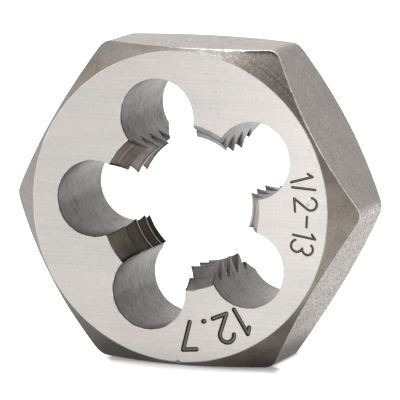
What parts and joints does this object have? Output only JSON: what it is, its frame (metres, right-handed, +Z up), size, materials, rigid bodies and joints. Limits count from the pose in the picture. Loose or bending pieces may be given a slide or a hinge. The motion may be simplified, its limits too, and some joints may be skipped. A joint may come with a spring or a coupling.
{
  "type": "hex threading die",
  "caption": "Hexagonal threading die with a right-hand thread, chip holes that break into the bore, and turned corners, for cutting or renewing a bolt thread.",
  "frame": {"origin": "on the thread axis, halfway through the die", "axes": "+Y along the thread axis from the starting face to the back face, +Z up with the die standing on one flat of its hexagon, +X across two corners of the hexagon"},
  "size_m": [0.029, 0.0096, 0.0254],
  "materials": {
    "tool_steel": "ground bright on the two faces, turned and darker on the corners, blasted on the flats"
  },
  "bodies": {
    "root": {"hex_die": "tool_steel"}
  },
  "joints": []
}
